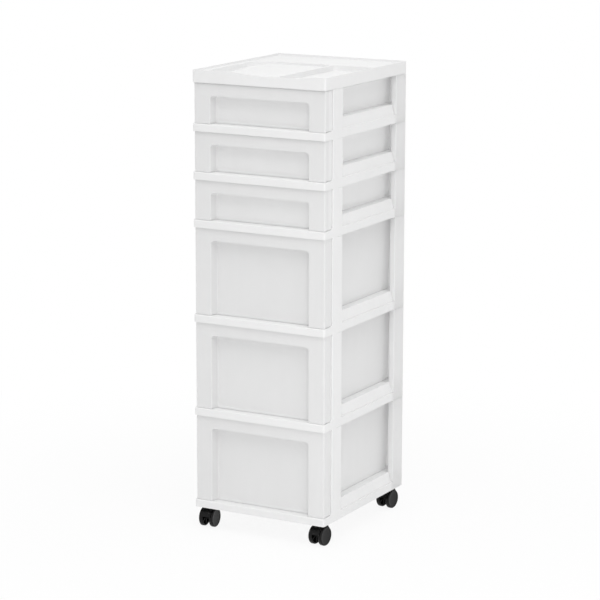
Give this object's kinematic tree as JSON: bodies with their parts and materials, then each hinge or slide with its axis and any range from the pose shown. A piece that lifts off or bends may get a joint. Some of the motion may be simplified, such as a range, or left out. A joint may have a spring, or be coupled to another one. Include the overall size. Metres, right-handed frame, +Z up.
{
  "type": "drawer tower",
  "caption": "Tall narrow plastic drawer tower: stacked open-sided frames, shallow and deep pull-out drawers, a pocketed organizer top and twin-wheel casters.",
  "frame": {"origin": "on the floor, under the middle of the tower's outline", "axes": "+X to the right seen from the front, +Y to the back, +Z up; drawers open towards -Y"},
  "size_m": [0.306, 0.357, 0.963],
  "materials": {
    "white_shell": "satin moulded",
    "pearl_drawer": "translucent, satin moulded",
    "black_caster": "satin moulded",
    "steel": "plated"
  },
  "bodies": {
    "tower": {"organizer_top": "white_shell", "frame_1": "white_shell", "frame_2": "white_shell", "frame_3": "white_shell", "frame_4": "white_shell", "frame_5": "white_shell", "frame_6": "white_shell", "front_left_stem": "steel", "front_left_grip_ring": "steel", "front_right_stem": "steel", "front_right_grip_ring": "steel", "rear_left_stem": "steel", "rear_left_grip_ring": "steel", "rear_right_stem": "steel", "rear_right_grip_ring": "steel"},
    "drawer_1": {"drawer_1": "pearl_drawer"},
    "drawer_2": {"drawer_2": "pearl_drawer"},
    "drawer_3": {"drawer_3": "pearl_drawer"},
    "drawer_4": {"drawer_4": "pearl_drawer"},
    "drawer_5": {"drawer_5": "pearl_drawer"},
    "drawer_6": {"drawer_6": "pearl_drawer"},
    "front_left_caster": {"front_left_housing": "black_caster", "front_left_axle": "steel"},
    "front_left_outer_wheel": {"front_left_outer_wheel": "black_caster"},
    "front_left_inner_wheel": {"front_left_inner_wheel": "black_caster"},
    "front_right_caster": {"front_right_housing": "black_caster", "front_right_axle": "steel"},
    "front_right_outer_wheel": {"front_right_outer_wheel": "black_caster"},
    "front_right_inner_wheel": {"front_right_inner_wheel": "black_caster"},
    "rear_left_caster": {"rear_left_housing": "black_caster", "rear_left_axle": "steel"},
    "rear_left_outer_wheel": {"rear_left_outer_wheel": "black_caster"},
    "rear_left_inner_wheel": {"rear_left_inner_wheel": "black_caster"},
    "rear_right_caster": {"rear_right_housing": "black_caster", "rear_right_axle": "steel"},
    "rear_right_outer_wheel": {"rear_right_outer_wheel": "black_caster"},
    "rear_right_inner_wheel": {"rear_right_inner_wheel": "black_caster"}
  },
  "joints": [
    {"name": "drawer_1_slide", "type": "slide", "parent": "tower", "child": "drawer_1", "axis": [0, -1, 0], "range_m": [0, 0.24]},
    {"name": "drawer_2_slide", "type": "slide", "parent": "tower", "child": "drawer_2", "axis": [0, -1, 0], "range_m": [0, 0.24]},
    {"name": "drawer_3_slide", "type": "slide", "parent": "tower", "child": "drawer_3", "axis": [0, -1, 0], "range_m": [0, 0.24]},
    {"name": "drawer_4_slide", "type": "slide", "parent": "tower", "child": "drawer_4", "axis": [0, -1, 0], "range_m": [0, 0.24]},
    {"name": "drawer_5_slide", "type": "slide", "parent": "tower", "child": "drawer_5", "axis": [0, -1, 0], "range_m": [0, 0.24]},
    {"name": "drawer_6_slide", "type": "slide", "parent": "tower", "child": "drawer_6", "axis": [0, -1, 0], "range_m": [0, 0.24]},
    {"name": "front_left_swivel", "type": "hinge", "parent": "tower", "child": "front_left_caster", "pos_m": [-0.133, -0.1355, 0.044], "axis": [0, 0, 1], "continuous": true},
    {"name": "front_left_outer_wheel_spin", "type": "hinge", "parent": "front_left_caster", "child": "front_left_outer_wheel", "pos_m": [-0.13201, -0.15447, 0.02], "axis": [0.9986, 0.0523, 0], "continuous": true},
    {"name": "front_left_inner_wheel_spin", "type": "hinge", "parent": "front_left_caster", "child": "front_left_inner_wheel", "pos_m": [-0.13201, -0.15447, 0.02], "axis": [0.9986, 0.0523, 0], "continuous": true},
    {"name": "front_right_swivel", "type": "hinge", "parent": "tower", "child": "front_right_caster", "pos_m": [0.133, -0.1355, 0.044], "axis": [0, 0, 1], "continuous": true},
    {"name": "front_right_outer_wheel_spin", "type": "hinge", "parent": "front_right_caster", "child": "front_right_outer_wheel", "pos_m": [0.13101, -0.1544, 0.02], "axis": [0.9945, -0.1045, 0], "continuous": true},
    {"name": "front_right_inner_wheel_spin", "type": "hinge", "parent": "front_right_caster", "child": "front_right_inner_wheel", "pos_m": [0.13101, -0.1544, 0.02], "axis": [0.9945, -0.1045, 0], "continuous": true},
    {"name": "rear_left_swivel", "type": "hinge", "parent": "tower", "child": "rear_left_caster", "pos_m": [-0.133, 0.1695, 0.044], "axis": [0, 0, 1], "continuous": true},
    {"name": "rear_left_outer_wheel_spin", "type": "hinge", "parent": "rear_left_caster", "child": "rear_left_outer_wheel", "pos_m": [-0.13167, 0.15055, 0.02], "axis": [0.9976, 0.0698, 0], "continuous": true},
    {"name": "rear_left_inner_wheel_spin", "type": "hinge", "parent": "rear_left_caster", "child": "rear_left_inner_wheel", "pos_m": [-0.13167, 0.15055, 0.02], "axis": [0.9976, 0.0698, 0], "continuous": true},
    {"name": "rear_right_swivel", "type": "hinge", "parent": "tower", "child": "rear_right_caster", "pos_m": [0.133, 0.1695, 0.044], "axis": [0, 0, 1], "continuous": true},
    {"name": "rear_right_outer_wheel_spin", "type": "hinge", "parent": "rear_right_caster", "child": "rear_right_outer_wheel", "pos_m": [0.13101, 0.1506, 0.02], "axis": [0.9945, -0.1045, 0], "continuous": true},
    {"name": "rear_right_inner_wheel_spin", "type": "hinge", "parent": "rear_right_caster", "child": "rear_right_inner_wheel", "pos_m": [0.13101, 0.1506, 0.02], "axis": [0.9945, -0.1045, 0], "continuous": true}
  ]
}
